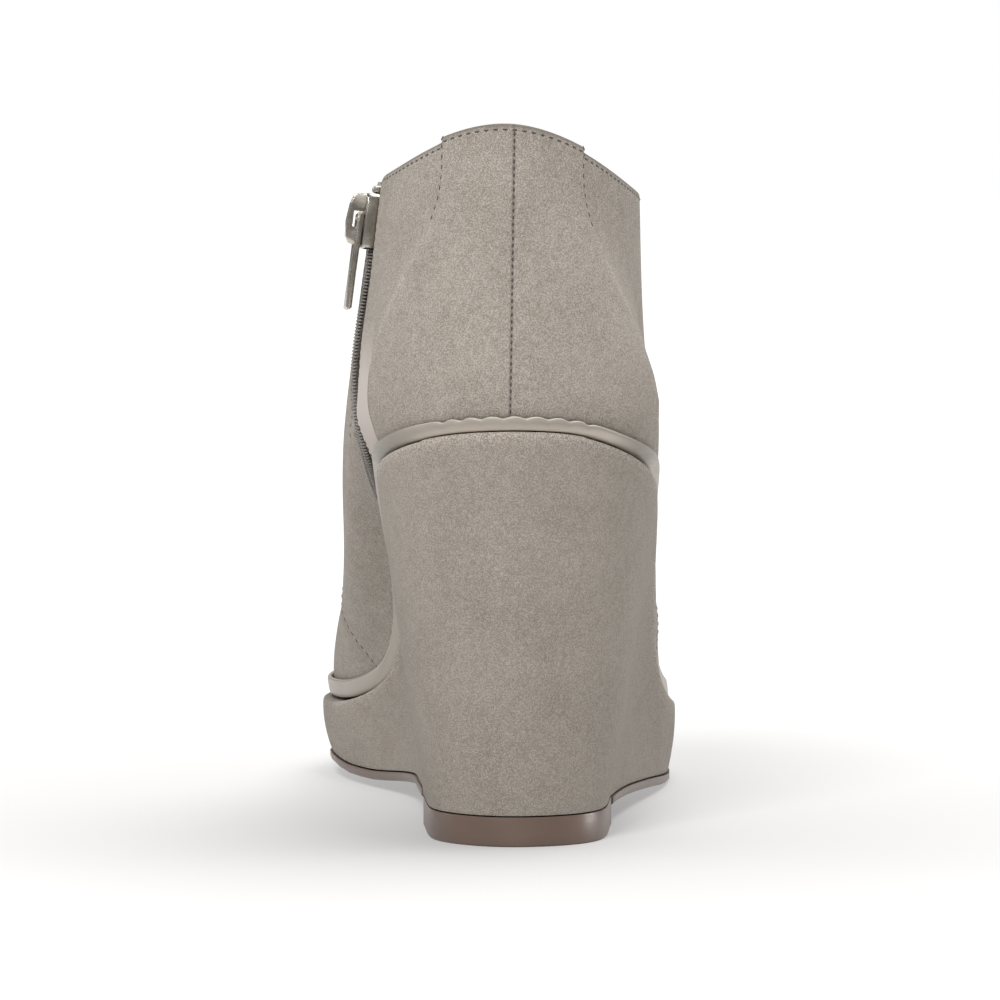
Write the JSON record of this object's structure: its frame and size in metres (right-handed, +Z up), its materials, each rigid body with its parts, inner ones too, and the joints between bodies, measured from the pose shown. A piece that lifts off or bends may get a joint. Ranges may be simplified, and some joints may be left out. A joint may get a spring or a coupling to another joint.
{
  "type": "wedge ankle boot",
  "caption": "Closed-toe ankle boot for the right foot, on a covered platform wedge with a side zip, gathered rand strip and separate heel top-lift.",
  "frame": {"origin": "on the floor, at the centre of the heel top-lift's lower face", "axes": "+Y towards the toe, +Z up, +X towards the outer (lateral) side of the right foot"},
  "size_m": [0.0908, 0.2297, 0.1696],
  "materials": {
    "microsuede": "short-napped taupe microsuede",
    "rand_strip": "smooth satin taupe synthetic leather",
    "sole_rubber": "satin brown rubber",
    "lining": "beige lining and sock",
    "zip_weave": "dark grey woven zip tape and coil",
    "pewter": "polished antique pewter zip hardware"
  },
  "bodies": {
    "boot": {"outsole": "sole_rubber", "heel_top_lift": "sole_rubber", "wedge": "microsuede", "rand": "rand_strip", "upper": "microsuede", "insole": "lining", "zip_tape": "zip_weave", "zip_chain": "zip_weave", "zip_stop_front": "pewter", "zip_stop_rear": "pewter", "zip_slider": "pewter"},
    "zip_pull": {"zip_pull": "pewter"}
  },
  "joints": [
    {"name": "zip_pull_hinge", "type": "hinge", "parent": "boot", "child": "zip_pull", "pos_m": [-0.03682, 0.01551, 0.14698], "axis": [-0.1305, 0.9872, -0.0912], "range_deg": [0, 150]}
  ]
}
